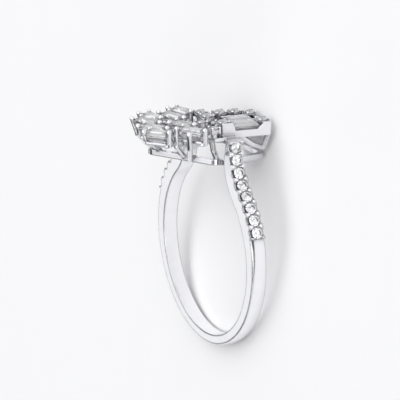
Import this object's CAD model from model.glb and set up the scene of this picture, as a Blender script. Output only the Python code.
"""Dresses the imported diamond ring: polished white gold, cut stones and the beads of its shoulders.

The ring is worked out upright in millimetres, with one direction along the finger, one across the
hoop and one up towards the head. RingPose lays each such point down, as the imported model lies.
"""

import logging
import math
from dataclasses import dataclass, field
from enum import Enum
from typing import Iterable, Optional, Union

import bpy
from mathutils import Matrix, Vector


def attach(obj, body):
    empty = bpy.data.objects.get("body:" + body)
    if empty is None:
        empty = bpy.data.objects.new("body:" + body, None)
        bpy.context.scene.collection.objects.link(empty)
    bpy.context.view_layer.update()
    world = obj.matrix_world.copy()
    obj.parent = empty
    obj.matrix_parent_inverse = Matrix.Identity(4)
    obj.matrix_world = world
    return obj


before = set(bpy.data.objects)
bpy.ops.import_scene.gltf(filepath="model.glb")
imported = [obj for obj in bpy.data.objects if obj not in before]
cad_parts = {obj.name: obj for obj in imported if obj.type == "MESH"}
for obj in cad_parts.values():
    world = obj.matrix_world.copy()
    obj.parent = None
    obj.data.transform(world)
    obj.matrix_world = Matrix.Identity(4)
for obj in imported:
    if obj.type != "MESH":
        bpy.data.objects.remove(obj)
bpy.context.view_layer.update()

Triple = tuple[float, float, float]
Tree = bpy.types.NodeTree
Socket = bpy.types.NodeSocket
Value = Union[Socket, Triple, Vector, float, str]
Inputs = dict[Union[int, str], Value]

LOG = logging.getLogger("ring")
MM = 0.001
ROOT = "root"

# Rays that the nodes for rounded edges and for gaps send out at each point
EDGE_SAMPLES = 6

# What the photographed surfaces mirror, as directions from the ring: the hoop's near side face, and
# the near left face of the base rail
SIDE_FACE_MIRRORS = (-0.843, -0.379, 0.378)
RAIL_MIRRORS = (-0.102, -0.477, 0.874)


class Slot(Enum):
    """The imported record's material slots that added pieces take."""

    GOLD = "white_gold"


class Kind(Enum):
    """The kinds of solid that are dressed alike, each by a word in its nodes' names.

    The words are looked for in this order, and what has none of them is a round stone.
    """

    SETTING = "setting"
    CHANNEL = "channel"
    BAGUETTE = "baguette"
    ROUND = ""

    @classmethod
    def of(cls, node: str) -> "Kind":
        """Tells a node's kind by its name."""
        return next(kind for kind in cls if kind.value in node)


class Side(Enum):
    """The two shoulders, by the sign of their place across the hoop."""

    NEAR = 1
    FAR = -1


@dataclass(frozen=True)
class RingPose:
    """How the upright ring lies on its side on the floor.

    Attributes:
        tilt: Angle in degrees between the hoop's flat side and the floor.
        floor_drop: Depth in millimetres of the floor below the finger hole's centre.
    """

    tilt: float = 11.04
    floor_drop: float = 2.53

    def direction(self, along: float, across: float, up: float) -> Vector:
        """Turns an upright direction as the ring is turned.

        Args:
            along: Part along the finger.
            across: Part across the hoop.
            up: Part towards the head.

        Returns:
            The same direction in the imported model's frame.
        """
        lean = math.radians(self.tilt)
        return Vector((
            across,
            up * math.cos(lean) - along * math.sin(lean),
            up * math.sin(lean) + along * math.cos(lean),
        ))

    def point(self, along: float, across: float, up: float) -> Vector:
        """Lays an upright point in millimetres down, in metres.

        Args:
            along: Place along the finger.
            across: Place across the hoop.
            up: Height towards the head.

        Returns:
            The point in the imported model's frame.
        """
        return self.direction(along, across, up) * MM

    @property
    def floor_z(self) -> float:
        """Height of the floor in metres."""
        return -self.floor_drop * MM


def feed(tree: Tree, value: Value, socket: Socket) -> None:
    """Gives an input its value.

    Args:
        tree: The node tree that holds it.
        value: The socket that it is linked from, or the plain value. A colour is three numbers.
        socket: The input.
    """
    if isinstance(value, Socket):
        tree.links.new(value, socket)
    elif socket.type == "RGBA":
        socket.default_value = (*value, 1.0)
    else:
        socket.default_value = value


def set_inputs(tree: Tree, node: bpy.types.Node, inputs: Inputs) -> None:
    """Gives a node's inputs their values.

    Args:
        tree: The node tree that holds the node.
        node: The node.
        inputs: The value of each input, by the input's name or place.
    """
    for key, value in inputs.items():
        feed(tree, value, node.inputs[key])


def add_node(tree: Tree, kind: str, inputs: Optional[Inputs] = None, **options: object) -> bpy.types.Node:
    """Makes a node.

    Args:
        tree: The node tree that gets it.
        kind: The node's type in Blender.
        inputs: The value of each input that is given one, by the input's name or place.
        options: The node's own settings by name.

    Returns:
        The node.
    """
    node = tree.nodes.new(kind)
    for name, option in options.items():
        setattr(node, name, option)
    set_inputs(tree, node, inputs or {})
    return node


def calculated(tree: Tree, operation: str, *values: Value, clamp: bool = False) -> Socket:
    """Works a number out from others.

    Args:
        tree: The node tree that holds the nodes.
        operation: What is done with the numbers, by its name in Blender.
        values: The numbers, in the operation's order.
        clamp: Whether the result is kept from 0 to 1.

    Returns:
        The socket with the result.
    """
    node = add_node(tree, "ShaderNodeMath", dict(enumerate(values)), operation=operation, use_clamp=clamp)
    return node.outputs["Value"]


def mapped(tree: Tree, share: Socket, low: float, high: float) -> Socket:
    """Maps a share from 0 to 1 onto a range.

    Args:
        tree: The node tree that holds the nodes.
        share: The socket that gives the share.
        low: Result at 0.
        high: Result at 1.

    Returns:
        The socket with the mapped value.
    """
    node = add_node(tree, "ShaderNodeMapRange", {"Value": share, "To Min": low, "To Max": high})
    return node.outputs["Result"]


def share_between(tree: Tree, value: Socket, low: float, high: float, soft: bool = False) -> Socket:
    """Spreads the part of a value between two limits over 0 to 1.

    Args:
        tree: The node tree that holds the nodes.
        value: The socket that gives the value.
        low: Value at which the result is 0.
        high: Value at which it is 1.
        soft: Whether it starts and ends softly.

    Returns:
        The socket with the share.
    """
    way = "SMOOTHSTEP" if soft else "LINEAR"
    limits = {"Value": value, "From Min": low, "From Max": high}
    return add_node(tree, "ShaderNodeMapRange", limits, interpolation_type=way).outputs["Result"]


def length_along(tree: Tree, value: Socket, direction: Value) -> Socket:
    """Measures a vector along a direction.

    Args:
        tree: The node tree that holds the nodes.
        value: The socket that gives the vector.
        direction: The direction, of length 1.

    Returns:
        The socket with the length.
    """
    node = add_node(tree, "ShaderNodeVectorMath", {0: value, 1: direction}, operation="DOT_PRODUCT")
    return node.outputs["Value"]


def blended(tree: Tree, share: Socket, first: Value, second: Value, way: str = "MIX") -> Socket:
    """Blends two colours by a share from 0 to 1.

    Args:
        tree: The node tree that holds the nodes.
        share: The socket that gives the share.
        first: Colour at 0.
        second: Colour at 1, or the colour to multiply by.
        way: How the second colour is laid over the first.

    Returns:
        The socket with the blended colour.
    """
    node = add_node(tree, "ShaderNodeMix", {"Factor": share}, data_type="RGBA", blend_type=way)
    colours = [socket for socket in node.inputs if socket.type == "RGBA"]
    feed(tree, first, colours[0])
    feed(tree, second, colours[1])
    return [socket for socket in node.outputs if socket.type == "RGBA"][0]


def new_material(name: str) -> tuple[bpy.types.Material, bpy.types.Node]:
    """Starts a material.

    Args:
        name: Its name.

    Returns:
        The material and its Principled BSDF.
    """
    material = bpy.data.materials.new(name)
    material.use_nodes = True
    return material, material.node_tree.nodes["Principled BSDF"]


@dataclass(frozen=True)
class MarkLook:
    """One material's use of the shared surface marks.

    Attributes:
        scale: Marks in each metre.
        detail: Octaves of the noise.
        stretch: How much longer the marks are along the model's X axis.
        contrast: How sharply the marks stand out, from 0 to 1.
    """

    scale: float
    detail: float
    stretch: float
    contrast: float


class SurfaceMarks:
    """The node group of faint polishing marks and haze that every finish shares.

    Attributes:
        NAME: The group's name.
        INPUTS: Name and standing value of each input that is a number.
        FINENESS: Name of each output, and its noise's scale as a share of the group's.
        GAIN: How many times the full contrast spreads the noise.
        MIDDLE: The value about which it is spread.
    """

    NAME = "surface_marks"
    INPUTS = (("Scale", 900.0), ("Detail", 3.0), ("Stretch", 1.0), ("Contrast", 0.5))
    FINENESS = (("Broad", 0.12), ("Fine", 1.0))
    GAIN = 4.0
    MIDDLE = 0.5

    def __init__(self) -> None:
        """Builds the node group once."""
        self.tree = bpy.data.node_groups.new(self.NAME, "ShaderNodeTree")
        self._sockets()
        self._nodes()

    def _sockets(self) -> None:
        """Names the group's inputs and outputs."""
        face = self.tree.interface
        face.new_socket("Vector", in_out="INPUT", socket_type="NodeSocketVector")
        for name, value in self.INPUTS:
            socket = face.new_socket(name, in_out="INPUT", socket_type="NodeSocketFloat")
            socket.default_value = value
        for name, _ in self.FINENESS:
            face.new_socket(name, in_out="OUTPUT", socket_type="NodeSocketFloat")

    def _nodes(self) -> None:
        """Lays out a broad haze and fine marks, both from 0 to 1."""
        tree = self.tree
        start = add_node(tree, "NodeGroupInput")
        end = add_node(tree, "NodeGroupOutput")
        shrink = calculated(tree, "DIVIDE", 1.0, start.outputs["Stretch"])
        factors = add_node(tree, "ShaderNodeCombineXYZ", {"X": shrink, "Y": 1.0, "Z": 1.0})
        stretched = {0: start.outputs["Vector"], 1: factors.outputs["Vector"]}
        place = add_node(tree, "ShaderNodeVectorMath", stretched, operation="MULTIPLY")
        gain = calculated(tree, "MULTIPLY", start.outputs["Contrast"], self.GAIN)
        for name, factor in self.FINENESS:
            noise = add_node(tree, "ShaderNodeTexNoise", {
                "Vector": place.outputs["Vector"],
                "Scale": calculated(tree, "MULTIPLY", start.outputs["Scale"], factor),
                "Detail": start.outputs["Detail"],
            })
            centred = calculated(tree, "SUBTRACT", noise.outputs["Fac"], self.MIDDLE)
            spread = calculated(tree, "MULTIPLY_ADD", centred, gain, self.MIDDLE, clamp=True)
            feed(tree, spread, end.inputs[name])

    def place(self, tree: Tree, look: MarkLook) -> bpy.types.Node:
        """Puts the group into a material, reading Object coordinates.

        Args:
            tree: The material's node tree.
            look: The material's own values.

        Returns:
            The group node, with the outputs Broad and Fine.
        """
        place = add_node(tree, "ShaderNodeTexCoord")
        return add_node(tree, "ShaderNodeGroup", {
            "Vector": place.outputs["Object"],
            "Scale": look.scale,
            "Detail": look.detail,
            "Stretch": look.stretch,
            "Contrast": look.contrast,
        }, node_tree=self.tree)


@dataclass(frozen=True)
class GoldFinish:
    """Polished, rhodium-plated white gold.

    Attributes:
        name: Material name.
        bright: Colour of the clean polish.
        soft: Colour where the polish is a little hazed.
        smooth: Lowest roughness.
        hazed: Highest roughness.
        bump: Height of the polishing marks in metres.
        bump_share: How strongly the marks turn the surface, from 0 to 1.
        edge: Radius in metres to which the polish rounds the edges of the head.
        hoop_edge: The same for the hoop.
        hoop_top: Height in metres towards the head below which the metal counts as the hoop's.
        head_foot: Height in metres above which it counts as the head's.
        head_tone: Share of the polish's brightness that the wires and frames of the head have.
        recess: Colour deep in the gaps between the wires, which the polish doesn't reach.
        reach: Width in metres of the gaps that count as deep.
        nick: Width in metres of the nicks beside the shoulders' stones, which are as dark.
        rim: Colour of the fine line along the hoop's edges, which mirror the dark of the room.
        rim_width: Width in metres over which the edges turn.
        rim_turn: Cosines of the turn at which the line has its full colour, and at which it ends.
        seat: Colour of the seats, which are cut bright.
        seat_gap: Distance in metres to a stone within which the metal counts as its seat.
        marks: Scale and contrast of the marks.
    """

    name: str
    bright: Triple = (0.94, 0.94, 0.95)
    soft: Triple = (0.90, 0.90, 0.92)
    smooth: float = 0.04
    hazed: float = 0.09
    bump: float = 0.5e-6
    bump_share: float = 0.6
    edge: float = 0.12e-3
    hoop_edge: float = 0.28e-3
    hoop_top: float = 8.5e-3
    head_foot: float = 9.5e-3
    head_tone: Triple = (0.89, 0.89, 0.90)
    recess: Triple = (0.10, 0.10, 0.12)
    reach: float = 0.9e-3
    nick: float = 0.5e-3
    rim: Triple = (0.20, 0.20, 0.23)
    rim_width: float = 0.20e-3
    rim_turn: tuple[float, float] = (0.80, 0.97)
    seat: Triple = (0.98, 0.98, 0.985)
    seat_gap: float = 0.06e-3
    marks: MarkLook = MarkLook(scale=9000.0, detail=3.0, stretch=3.0, contrast=0.5)

    def build(self, group: SurfaceMarks, pose: RingPose) -> bpy.types.Material:
        """Builds the material.

        Args:
            group: The shared surface marks.
            pose: How the ring lies.

        Returns:
            The finished material.
        """
        material, shader = new_material(self.name)
        tree = material.node_tree
        marks = group.place(tree, self.marks)
        polish = blended(tree, marks.outputs["Broad"], self.bright, self.soft)
        head = self._head_share(tree, pose)
        set_inputs(tree, shader, {
            "Base Color": self._worked(tree, polish, head),
            "Metallic": 1.0,
            "Roughness": mapped(tree, marks.outputs["Broad"], self.smooth, self.hazed),
            "Normal": self._marked(tree, marks.outputs["Fine"], head),
        })
        return material

    def _head_share(self, tree: Tree, pose: RingPose) -> Socket:
        """Tells the head's metal from the hoop's.

        Args:
            tree: The material's node tree.
            pose: How the ring lies.

        Returns:
            The socket with 0 on the hoop and 1 on the head.
        """
        place = add_node(tree, "ShaderNodeTexCoord")
        height = length_along(tree, place.outputs["Object"], pose.direction(0, 0, 1))
        return share_between(tree, height, self.hoop_top, self.head_foot)

    def _rounded(self, tree: Tree, radius: Value) -> Socket:
        """Rounds the metal's edges in looks alone.

        Args:
            tree: The material's node tree.
            radius: The edges' radius in metres.

        Returns:
            The socket with the direction that the rounded surface faces.
        """
        return add_node(tree, "ShaderNodeBevel", {"Radius": radius}, samples=EDGE_SAMPLES).outputs["Normal"]

    def _marked(self, tree: Tree, marks: Socket, head: Socket) -> Socket:
        """Lays the polishing marks over the rounded edges.

        Args:
            tree: The material's node tree.
            marks: The socket with the marks' height.
            head: The socket with the head's share.

        Returns:
            The socket with the direction that the surface faces.
        """
        radius = mapped(tree, head, self.hoop_edge, self.edge)
        bump = add_node(tree, "ShaderNodeBump", {
            "Strength": self.bump_share,
            "Distance": self.bump,
            "Height": marks,
            "Normal": self._rounded(tree, radius),
        })
        return bump.outputs["Normal"]

    def _open(self, tree: Tree, width: float, own: bool) -> Socket:
        """Finds the places that stand free of other surfaces.

        Args:
            tree: The material's node tree.
            width: Distance in metres within which a surface counts as close.
            own: Whether the metal's own surfaces alone count, and not the stones.

        Returns:
            The socket with 0 in a gap and 1 in the open.
        """
        within = {"Distance": width}
        gaps = add_node(tree, "ShaderNodeAmbientOcclusion", within, samples=EDGE_SAMPLES, only_local=own)
        return gaps.outputs["AO"]

    def _flat(self, tree: Tree) -> Socket:
        """Finds the places away from the metal's edges.

        Args:
            tree: The material's node tree.

        Returns:
            The socket with 0 on an edge and 1 away from it.
        """
        face = add_node(tree, "ShaderNodeNewGeometry")
        turn = length_along(tree, self._rounded(tree, self.rim_width), face.outputs["Normal"])
        return share_between(tree, turn, *self.rim_turn)

    def _worked(self, tree: Tree, polish: Socket, head: Socket) -> Socket:
        """Tones the head, darkens the gaps, the nicks and the hoop's edges, and brightens the seats.

        Args:
            tree: The material's node tree.
            polish: The socket with the polish's colour.
            head: The socket with the head's share.

        Returns:
            The socket with the colour to use.
        """
        colour = blended(tree, head, polish, self.head_tone, way="MULTIPLY")
        # Each colour goes where its share is 0. The larger of a share and the head's is 1 on the head,
        # which keeps the nicks and the rim on the hoop
        layers = (
            (self.recess, self._open(tree, self.reach, own=True)),
            (self.recess, calculated(tree, "MAXIMUM", self._open(tree, self.nick, own=False), head)),
            (self.rim, calculated(tree, "MAXIMUM", self._flat(tree), head)),
            (self.seat, self._open(tree, self.seat_gap, own=False)),
        )
        for shade, share in layers:
            colour = blended(tree, share, shade, colour)
        return colour


@dataclass(frozen=True)
class DiamondFinish:
    """A clear cut diamond.

    Attributes:
        name: Material name.
        clear: Colour of the clean stone.
        tinted: Colour where it is faintly cool.
        smooth: Lowest roughness.
        hazed: Highest roughness.
        ior: Refractive index.
        clarity: Share of the light that passes clear.
        marks: Scale and contrast of the haze.
    """

    name: str
    clear: Triple = (1.0, 1.0, 1.0)
    tinted: Triple = (0.98, 0.984, 0.995)
    smooth: float = 0.0
    hazed: float = 0.02
    ior: float = 2.417
    clarity: float = 0.90
    marks: MarkLook = MarkLook(scale=4000.0, detail=2.0, stretch=1.0, contrast=0.6)

    def build(self, group: SurfaceMarks) -> bpy.types.Material:
        """Builds the material.

        Args:
            group: The shared surface marks.

        Returns:
            The finished material.
        """
        material, shader = new_material(self.name)
        tree = material.node_tree
        marks = group.place(tree, self.marks)
        set_inputs(tree, shader, {
            "Base Color": blended(tree, marks.outputs["Broad"], self.clear, self.tinted),
            "Roughness": mapped(tree, marks.outputs["Broad"], self.smooth, self.hazed),
            "IOR": self.ior,
            "Transmission Weight": self.clarity,
        })
        return material


@dataclass(frozen=True)
class ShoulderRow:
    """The curve of one shoulder's stone row, as the source of the solids has it, in millimetres.

    Attributes:
        row_r: Radius of the row where it follows the hoop.
        start: Angle in degrees above the line across the hoop at which the row starts.
        leave: The same angle where the shoulder leaves the hoop.
        rise_r: Radius of the hollow curve up to the head.
        overlap: How far the hollow curve bites into the hoop's circle.
        tip: Height of the shoulder's tip.
        margin: Distance from the row's ends to its first and last stone.
        stones: Number of stones.
    """

    row_r: float = 10.15
    start: float = 20.7
    leave: float = 46.4
    rise_r: float = 5.87
    overlap: float = 0.02
    tip: float = 12.0
    margin: float = 0.58
    stones: int = 8

    @property
    def rise_centre(self) -> tuple[float, float]:
        """Centre of the hollow curve, across the hoop and up."""
        reach = self.row_r + self.rise_r - self.overlap
        angle = math.radians(self.leave)
        return reach * math.cos(angle), reach * math.sin(angle)

    @property
    def hoop_arc(self) -> float:
        """Length of the row along the hoop."""
        return self.row_r * math.radians(self.leave - self.start)

    @property
    def rise_arc(self) -> float:
        """Length of the row along the hollow curve."""
        sweep = math.radians(self.leave) + math.asin((self.tip - self.rise_centre[1]) / self.rise_r)
        return self.rise_r * sweep

    @property
    def pitch(self) -> float:
        """Distance from one stone to the next."""
        return (self.hoop_arc + self.rise_arc - 2 * self.margin) / (self.stones - 1)

    def angle(self, distance: float) -> float:
        """Angle of the row's outward direction in radians.

        Args:
            distance: Distance along the row.

        Returns:
            The angle above the line across the hoop.
        """
        if distance < self.hoop_arc:
            return math.radians(self.start) + distance / self.row_r
        return math.radians(self.leave) - (distance - self.hoop_arc) / self.rise_r

    def spot(self, distance: float, height: float) -> tuple[float, float]:
        """A point over the row.

        Args:
            distance: Distance along the row.
            height: Height over the metal.

        Returns:
            The place across the hoop and the height towards the head.
        """
        angle = self.angle(distance)
        if distance < self.hoop_arc:
            reach = self.row_r + height
            return reach * math.cos(angle), reach * math.sin(angle)
        across, up = self.rise_centre
        reach = self.rise_r - height
        return across - reach * math.cos(angle), up - reach * math.sin(angle)


class BeadTree:
    """The Geometry Nodes tree that stands a bead on each point, turned along its outward direction.

    Attributes:
        NAME: The tree's name.
        OUTWARD: Name of the points' attribute with the outward direction.
        LEVEL: Fineness of the bead's ball: 20 triangles at 1, and four times as many at each next.
        INPUTS: Name and socket type of each input besides the points.
    """

    NAME = "bead_row"
    OUTWARD = "outward"
    LEVEL = 3
    INPUTS = (
        ("Radius", "NodeSocketFloat"),
        ("Height", "NodeSocketFloat"),
        ("Spread", "NodeSocketFloat"),
        ("Seed", "NodeSocketInt"),
        ("Material", "NodeSocketMaterial"),
    )

    def __init__(self) -> None:
        """Builds the tree once."""
        self.tree = bpy.data.node_groups.new(self.NAME, "GeometryNodeTree")
        self.tree.is_modifier = True
        face = self.tree.interface
        face.new_socket("Geometry", in_out="INPUT", socket_type="NodeSocketGeometry")
        for name, kind in self.INPUTS:
            face.new_socket(name, in_out="INPUT", socket_type=kind)
        face.new_socket("Geometry", in_out="OUTPUT", socket_type="NodeSocketGeometry")
        self._nodes()

    def _nodes(self) -> None:
        """Lays out the tree."""
        tree = self.tree
        start = add_node(tree, "NodeGroupInput")
        end = add_node(tree, "NodeGroupOutput")
        points = add_node(tree, "GeometryNodeMeshToPoints", {"Mesh": start.outputs["Geometry"]})
        sizes = {"Radius": start.outputs["Radius"], "Subdivisions": self.LEVEL}
        ball = add_node(tree, "GeometryNodeMeshIcoSphere", sizes)
        named = {"Name": self.OUTWARD}
        outward = add_node(tree, "GeometryNodeInputNamedAttribute", named, data_type="FLOAT_VECTOR")
        way = {"Vector": outward.outputs["Attribute"]}
        align = add_node(tree, "FunctionNodeAlignRotationToVector", way, axis="Z")
        stand = add_node(tree, "GeometryNodeInstanceOnPoints", {
            "Points": points.outputs["Points"],
            "Instance": ball.outputs["Mesh"],
            "Rotation": align.outputs["Rotation"],
            "Scale": self._scale(start),
        })
        real = add_node(tree, "GeometryNodeRealizeInstances", {"Geometry": stand.outputs["Instances"]})
        smooth = add_node(tree, "GeometryNodeSetShadeSmooth", {"Geometry": real.outputs["Geometry"]})
        dress = add_node(tree, "GeometryNodeSetMaterial", {
            "Geometry": smooth.outputs["Geometry"],
            "Material": start.outputs["Material"],
        })
        feed(tree, dress.outputs["Geometry"], end.inputs["Geometry"])

    def _scale(self, start: bpy.types.Node) -> Socket:
        """Draws each bead's size.

        Args:
            start: The tree's input node.

        Returns:
            The socket with the scale along the bead's three axes.
        """
        tree = self.tree
        size = add_node(tree, "FunctionNodeRandomValue", {"Seed": start.outputs["Seed"]}, data_type="FLOAT")
        limits = [socket for socket in size.inputs if socket.type == "VALUE"]
        feed(tree, calculated(tree, "SUBTRACT", 1.0, start.outputs["Spread"]), limits[0])
        feed(tree, 1.0, limits[1])
        draw = [socket for socket in size.outputs if socket.type == "VALUE"][0]
        tall = calculated(tree, "MULTIPLY", draw, start.outputs["Height"])
        return add_node(tree, "ShaderNodeCombineXYZ", {"X": draw, "Y": draw, "Z": tall}).outputs["Vector"]

    def grow(
        self, name: str, spots: list[tuple[Vector, Vector]], values: dict[str, object]
    ) -> bpy.types.Object:
        """Stands beads on points and returns them as a plain mesh object.

        Args:
            name: Name of the piece.
            spots: Centre and outward direction of each bead, in the model's frame.
            values: Values of the tree's inputs by name.

        Returns:
            The finished object, with no modifier left on it.
        """
        mesh = bpy.data.meshes.new(name + "_spots")
        mesh.from_pydata([spot for spot, _ in spots], [], [])
        outward = mesh.attributes.new(self.OUTWARD, "FLOAT_VECTOR", "POINT")
        outward.data.foreach_set("vector", [part for _, way in spots for part in way])
        source = bpy.data.objects.new(name + "_spots", mesh)
        bpy.context.scene.collection.objects.link(source)
        modifier = source.modifiers.new("beads", "NODES")
        modifier.node_group = self.tree
        for socket in self.tree.interface.items_tree:
            if socket.in_out == "INPUT" and socket.name in values:
                modifier[socket.identifier] = values[socket.name]
        evaluated = source.evaluated_get(bpy.context.evaluated_depsgraph_get())
        result = bpy.data.meshes.new_from_object(evaluated)
        result.name = name
        piece = bpy.data.objects.new(name, result)
        bpy.context.scene.collection.objects.link(piece)
        source.modifiers.remove(modifier)
        bpy.data.objects.remove(source)
        return piece


@dataclass
class ShoulderBeads:
    """The beads between the stones of both shoulders: two in each gap.

    Attributes:
        pose: How the ring lies.
        row: The curve of the stone row.
        bead_r: Radius of a bead in millimetres.
        spread: Largest share by which a bead is smaller.
        height: A bead's height as a share of its width.
        along: Distance of the beads from the row's middle line in millimetres.
        lift: How far a bead's centre lies over the metal, in millimetres.
        seeds: Seed of the beads' sizes on each shoulder.
    """

    pose: RingPose
    row: ShoulderRow = field(default_factory=ShoulderRow)
    bead_r: float = 0.20
    spread: float = 0.08
    height: float = 0.95
    along: float = 0.48
    lift: float = 0.03
    seeds: dict[Side, int] = field(default_factory=lambda: {Side.NEAR: 11, Side.FAR: 23})

    def spots(self, side: Side) -> list[tuple[Vector, Vector]]:
        """Centre and outward direction of each bead of one shoulder.

        Args:
            side: The shoulder.

        Returns:
            A pair for each bead.
        """
        found = []
        for gap in range(self.row.stones - 1):
            distance = self.row.margin + (gap + 0.5) * self.row.pitch
            across, up = self.row.spot(distance, self.lift)
            angle = self.row.angle(distance)
            way = self.pose.direction(0, side.value * math.cos(angle), math.sin(angle))
            for sign in (-1, 1):
                found.append((self.pose.point(sign * self.along, side.value * across, up), way))
        return found

    def build(self, tree: BeadTree, finish: bpy.types.Material) -> list[bpy.types.Object]:
        """Builds the beads of both shoulders.

        Args:
            tree: The tree that stands the beads.
            finish: Their material.

        Returns:
            One object for each shoulder.
        """
        pieces = []
        for side in Side:
            piece = tree.grow(side.name.lower() + "_shoulder_beads", self.spots(side), {
                "Radius": self.bead_r * MM,
                "Height": self.height,
                "Spread": self.spread,
                "Seed": self.seeds[side],
                "Material": finish,
            })
            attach(piece, ROOT)
            pieces.append(piece)
        return pieces


@dataclass(frozen=True)
class Dresser:
    """Gives the carried-over solids their finishes.

    Attributes:
        finishes: The finish of each kind of solid.
    """

    finishes: dict[Kind, bpy.types.Material]

    def dress(self, nodes: dict[str, bpy.types.Object]) -> None:
        """Puts the finishes on the objects' own material slots.

        Args:
            nodes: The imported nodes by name.
        """
        for name, piece in nodes.items():
            for place in piece.material_slots:
                place.link = "OBJECT"
                place.material = self.finishes[Kind.of(name)]


@dataclass(frozen=True)
class PhotoCamera:
    """The camera at the photograph's angle to the ring.

    Attributes:
        azimuth: Angle in degrees from the line across the hoop towards the finger's direction.
        elevation: Angle in degrees above the upright ring's level.
        scale: Pixels in each millimetre at the finger hole's centre.
        distance: Distance in millimetres.
        aside: How far the view's centre lies to the right of the hole's centre, in millimetres.
        above: How far it lies above it, in millimetres.
        frame_px: Width of the picture in pixels.
        sensor: Sensor width in millimetres.
        sees: Nearest and farthest distance that the camera sees, in metres.
    """

    azimuth: float = 27.9
    elevation: float = 17.5
    scale: float = 10.33
    distance: float = 300.0
    aside: float = -1.05
    above: float = 4.58
    frame_px: int = 400
    sensor: float = 36.0
    sees: tuple[float, float] = (0.01, 20.0)

    def build(self, pose: RingPose) -> bpy.types.Object:
        """Makes the camera and sets it as the scene's own.

        Args:
            pose: How the ring lies.

        Returns:
            The camera object.
        """
        turn, lift = math.radians(self.azimuth), math.radians(self.elevation)
        level = pose.direction(math.sin(turn), math.cos(turn), 0)
        head = pose.direction(0, 0, 1)
        back = level * math.cos(lift) + head * math.sin(lift)
        right = pose.direction(-math.cos(turn), math.sin(turn), 0)
        up = head * math.cos(lift) - level * math.sin(lift)
        data = bpy.data.cameras.new("photo_camera")
        data.sensor_width = self.sensor
        data.lens = self.scale * self.distance / self.frame_px * self.sensor
        data.clip_start, data.clip_end = self.sees
        camera = bpy.data.objects.new("photo_camera", data)
        place = (back * self.distance + right * self.aside + up * self.above) * MM
        turned = Matrix((right, up, back)).transposed().to_4x4()
        camera.matrix_world = Matrix.Translation(place) @ turned
        bpy.context.scene.collection.objects.link(camera)
        bpy.context.scene.camera = camera
        return camera


@dataclass(frozen=True)
class SoftBox:
    """One soft rectangular light.

    Attributes:
        name: Its name.
        place: Its place in metres.
        size: Its two sides in metres.
        power: Its power in watts.
        aim: The point it faces.
    """

    name: str
    place: Triple
    size: tuple[float, float]
    power: float
    aim: Triple = (0.0, 0.003, 0.002)

    def build(self) -> None:
        """Makes the light."""
        data = bpy.data.lights.new(self.name, "AREA")
        data.shape = "RECTANGLE"
        data.size, data.size_y = self.size
        data.energy = self.power
        light = bpy.data.objects.new(self.name, data)
        light.location = self.place
        look = Vector(self.aim) - Vector(self.place)
        light.rotation_mode = "QUATERNION"
        light.rotation_quaternion = look.to_track_quat("-Z", "Y")
        bpy.context.scene.collection.objects.link(light)


@dataclass(frozen=True)
class Card:
    """A soft-edged dark or pale card in the surround, which the metal and the stones mirror.

    Attributes:
        toward: Direction of its middle, from the ring.
        inner: Angle in degrees within which it has its full tone.
        outer: Angle in degrees at which it ends.
        tone: Its grey.
    """

    toward: Triple
    inner: float
    outer: float
    tone: float


@dataclass(frozen=True)
class Band:
    """A level band of the surround, with panels of different tones round the ring.

    Attributes:
        starts: Sine of the elevation at which it starts to take over from the band below.
        full: Sine of the elevation from which it has taken over.
        panels: Grey of each panel, in equal steps from -X through -Y, +X and +Y back to -X.
    """

    starts: float
    full: float
    panels: tuple[float, ...]


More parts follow.
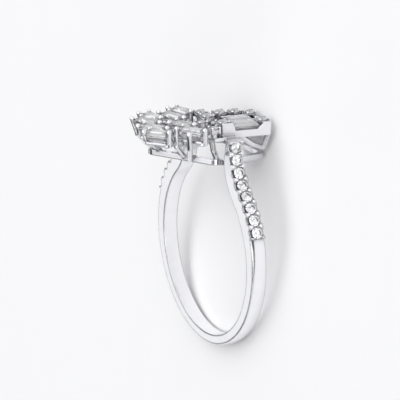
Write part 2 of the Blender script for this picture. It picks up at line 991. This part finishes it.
@dataclass(frozen=True)
class Studio:
    """A plain pale floor, soft lights and a surround of panels with a few cards.

    Attributes:
        floor_half: Half the floor's side in metres.
        floor_tone: The floor's grey.
        floor_grain: How much darker its grain is.
        floor_rough: Its roughness.
        floor_sheen: Its specular level.
        grain: Scale and contrast of the grain.
        horizon: Grey of each panel of the lowest band, in the same steps as a band's.
        bands: The bands over it, from the lowest up.
        tint: Colour of the surround's light.
        strength: The surround's strength.
        lights: The soft boxes.
        cards: The cards, each laid over those before it.
    """

    floor_half: float = 0.6
    floor_tone: float = 0.91
    floor_grain: float = 0.01
    floor_rough: float = 0.9
    floor_sheen: float = 0.1
    grain: MarkLook = MarkLook(scale=1500.0, detail=2.0, stretch=1.0, contrast=0.3)
    horizon: tuple[float, ...] = (0.16, 0.10, 0.06, 0.06, 0.04, 0.66, 0.62, 0.50)
    bands: tuple[Band, ...] = (
        Band(starts=0.18, full=0.26, panels=(0.25, 0.0, 0.87, 1.0, 0.74, 0.80, 1.0, 0.31)),
        Band(starts=0.50, full=0.60, panels=(0.15, 0.15, 0.16, 0.16, 1.0, 1.0, 0.70, 0.62)),
        Band(starts=0.80, full=0.90, panels=(1.0, 1.0)),
    )
    tint: Triple = (0.985, 0.985, 1.0)
    strength: float = 1.58
    lights: tuple[SoftBox, ...] = (
        SoftBox("key_box", place=(-0.12, 0.10, 0.22), size=(0.24, 0.18), power=0.08),
        SoftBox("side_box", place=(0.22, -0.02, 0.12), size=(0.10, 0.20), power=0.05),
    )
    cards: tuple[Card, ...] = (
        Card(SIDE_FACE_MIRRORS, inner=38.0, outer=50.0, tone=0.04),
        Card(SIDE_FACE_MIRRORS, inner=8.0, outer=12.0, tone=0.60),
        Card(RAIL_MIRRORS, inner=5.0, outer=9.0, tone=0.56),
    )

    def build(self, pose: RingPose, group: SurfaceMarks) -> None:
        """Makes the floor, the lights and the surround.

        Args:
            pose: How the ring lies.
            group: The shared surface marks, used for the floor's paper grain.
        """
        self._floor(pose, group)
        for light in self.lights:
            light.build()
        self._surround()
        bpy.context.scene.view_settings.view_transform = "Standard"

    def _floor(self, pose: RingPose, group: SurfaceMarks) -> None:
        """Lays the floor under the ring.

        Args:
            pose: How the ring lies.
            group: The shared surface marks.
        """
        signs = ((-1, -1), (1, -1), (1, 1), (-1, 1))
        corners = [(x * self.floor_half, y * self.floor_half, pose.floor_z) for x, y in signs]
        mesh = bpy.data.meshes.new("floor")
        mesh.from_pydata(corners, [], [(0, 1, 2, 3)])
        floor = bpy.data.objects.new("floor", mesh)
        bpy.context.scene.collection.objects.link(floor)
        material, shader = new_material("floor_card")
        tree = material.node_tree
        marks = group.place(tree, self.grain)
        pale, dull = (self.floor_tone,) * 3, (self.floor_tone - self.floor_grain,) * 3
        set_inputs(tree, shader, {
            "Base Color": blended(tree, marks.outputs["Broad"], pale, dull),
            "Roughness": self.floor_rough,
            "Specular IOR Level": self.floor_sheen,
        })
        mesh.materials.append(material)

    def _grey(self, tone: float) -> Triple:
        """Tints a grey of the surround."""
        return tuple(tone * part for part in self.tint)

    def _ring(self, tree: Tree, way_round: Socket, panels: tuple[float, ...]) -> Socket:
        """Sets a band's panels round the ring, each blending into the next.

        Args:
            tree: The world's node tree.
            way_round: The socket with the way round the ring, from 0 to 1.
            panels: Grey of each panel.

        Returns:
            The socket with the band's colour.
        """
        node = add_node(tree, "ShaderNodeValToRGB", {"Fac": way_round})
        ramp = node.color_ramp
        ramp.interpolation = "EASE"
        given = len(ramp.elements)
        for index, grey in enumerate(panels):
            position = (index + 0.5) / len(panels)
            stop = ramp.elements[index] if index < given else ramp.elements.new(position)
            stop.position = position
            stop.color = (*self._grey(grey), 1.0)
        return node.outputs["Color"]

    def _surround(self) -> None:
        """Lights the world with the bands, and lays the cards over them."""
        world = bpy.data.worlds.new("surround")
        bpy.context.scene.world = world
        world.use_nodes = True
        tree = world.node_tree
        toward = add_node(tree, "ShaderNodeTexCoord").outputs["Generated"]
        parts = add_node(tree, "ShaderNodeSeparateXYZ", {"Vector": toward})
        turn = calculated(tree, "ARCTAN2", parts.outputs["Y"], parts.outputs["X"])
        # 0 at -X, a quarter at -Y, a half at +X, three quarters at +Y and 1 at -X again
        way_round = share_between(tree, turn, -math.pi, math.pi)
        tone = self._ring(tree, way_round, self.horizon)
        for band in self.bands:
            rise = share_between(tree, parts.outputs["Z"], band.starts, band.full, soft=True)
            tone = blended(tree, rise, tone, self._ring(tree, way_round, band.panels))
        for card in self.cards:
            near = length_along(tree, toward, Vector(card.toward).normalized())
            ends, full = (math.cos(math.radians(angle)) for angle in (card.outer, card.inner))
            share = share_between(tree, near, ends, full, soft=True)
            tone = blended(tree, share, tone, self._grey(card.tone))
        set_inputs(tree, tree.nodes["Background"], {"Color": tone, "Strength": self.strength})


def main() -> None:
    """Builds the dressed ring and its scene in order."""
    logging.basicConfig(level=logging.INFO, format="%(name)s: %(message)s")
    pose = RingPose()
    PhotoCamera().build(pose)
    LOG.info("camera at the photograph's angle")
    group = SurfaceMarks()
    gold = GoldFinish("polished_white_gold").build(group, pose)
    beads_gold = GoldFinish("burnished_bead_gold", smooth=0.06, hazed=0.14).build(group, pose)
    step_cut = DiamondFinish("step_cut_diamond").build(group)
    walled = DiamondFinish("channel_cut_diamond", clarity=0.72).build(group)
    brilliant = DiamondFinish(
        "brilliant_cut_diamond", tinted=(0.985, 0.988, 1.0), clarity=0.98
    ).build(group)
    dresser = Dresser({
        Kind.SETTING: gold,
        Kind.CHANNEL: walled,
        Kind.BAGUETTE: step_cut,
        Kind.ROUND: brilliant,
    })
    dresser.dress(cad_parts)
    LOG.info("dressed %d solids", len(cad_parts))
    for piece in ShoulderBeads(pose).build(BeadTree(), beads_gold):
        LOG.info("%s: %d faces", piece.name, len(piece.data.polygons))
    Studio().build(pose, group)


if __name__ == "__main__":
    main()
